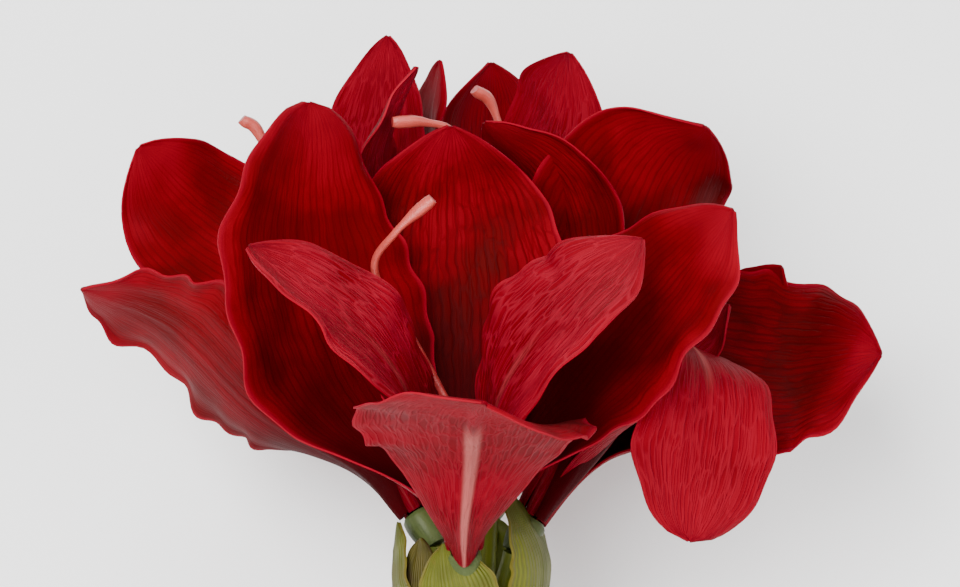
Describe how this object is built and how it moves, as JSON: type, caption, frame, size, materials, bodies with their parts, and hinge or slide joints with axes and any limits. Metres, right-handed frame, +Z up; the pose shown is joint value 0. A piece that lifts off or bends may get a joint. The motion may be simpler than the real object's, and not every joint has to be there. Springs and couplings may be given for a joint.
{
  "type": "amaryllis flower",
  "caption": "Cut red amaryllis flower head with open trumpet-shaped blooms on a thick green stem, lying on its back.",
  "frame": {"origin": "middle of the footprint, on the surface that the cut umbel lies on", "axes": "+Z up, away from the surface; +Y along the scape towards the blooms; +X to the right of the show side, seen with the blooms at the top"},
  "size_m": [0.2454, 0.3792, 0.2272],
  "materials": {
    "outer_tepal": "satin crimson petal with fine lengthwise veins",
    "inner_tepal": "satin deep crimson petal with fine lengthwise veins",
    "style": "smooth coral",
    "bract": "dull yellow-green leaf with faint ribs",
    "pedicel": "smooth light green",
    "ovary": "smooth grey-green",
    "scape": "smooth green with faint ribs"
  },
  "bodies": {
    "root": {"scape": "scape", "front_bloom_ovary": "ovary", "front_bloom_pedicel": "pedicel", "left_bloom_ovary": "ovary", "left_bloom_pedicel": "pedicel", "right_bloom_ovary": "ovary", "right_bloom_pedicel": "pedicel", "rear_left_bloom_ovary": "ovary", "rear_left_bloom_pedicel": "pedicel", "rear_right_bloom_ovary": "ovary", "rear_right_bloom_pedicel": "pedicel", "front_bloom_front_tepal": "outer_tepal", "front_bloom_front_right_tepal": "inner_tepal", "front_bloom_rear_right_tepal": "outer_tepal", "front_bloom_rear_tepal": "inner_tepal", "front_bloom_rear_left_tepal": "outer_tepal", "front_bloom_front_left_tepal": "inner_tepal", "front_bloom_style": "style", "left_bloom_front_tepal": "inner_tepal", "left_bloom_front_right_tepal": "outer_tepal", "left_bloom_rear_right_tepal": "inner_tepal", "left_bloom_rear_tepal": "outer_tepal", "left_bloom_rear_left_tepal": "inner_tepal", "left_bloom_front_left_tepal": "outer_tepal", "left_bloom_style": "style", "right_bloom_front_tepal": "outer_tepal", "right_bloom_front_right_tepal": "inner_tepal", "right_bloom_rear_right_tepal": "outer_tepal", "right_bloom_rear_tepal": "inner_tepal", "right_bloom_rear_left_tepal": "outer_tepal", "right_bloom_front_left_tepal": "inner_tepal", "right_bloom_style": "style", "rear_left_bloom_front_tepal": "inner_tepal", "rear_left_bloom_front_right_tepal": "outer_tepal", "rear_left_bloom_rear_right_tepal": "inner_tepal", "rear_left_bloom_rear_tepal": "outer_tepal", "rear_left_bloom_rear_left_tepal": "inner_tepal", "rear_left_bloom_front_left_tepal": "outer_tepal", "rear_left_bloom_style": "style", "rear_right_bloom_front_tepal": "inner_tepal", "rear_right_bloom_front_right_tepal": "outer_tepal", "rear_right_bloom_rear_right_tepal": "inner_tepal", "rear_right_bloom_rear_tepal": "outer_tepal", "rear_right_bloom_rear_left_tepal": "inner_tepal", "rear_right_bloom_front_left_tepal": "outer_tepal", "rear_right_bloom_style": "style", "spathe_bract_front": "bract", "spathe_bract_right": "bract", "spathe_bract_left": "bract", "spathe_bract_front_left": "bract", "spathe_bract_rear": "bract"}
  },
  "joints": []
}
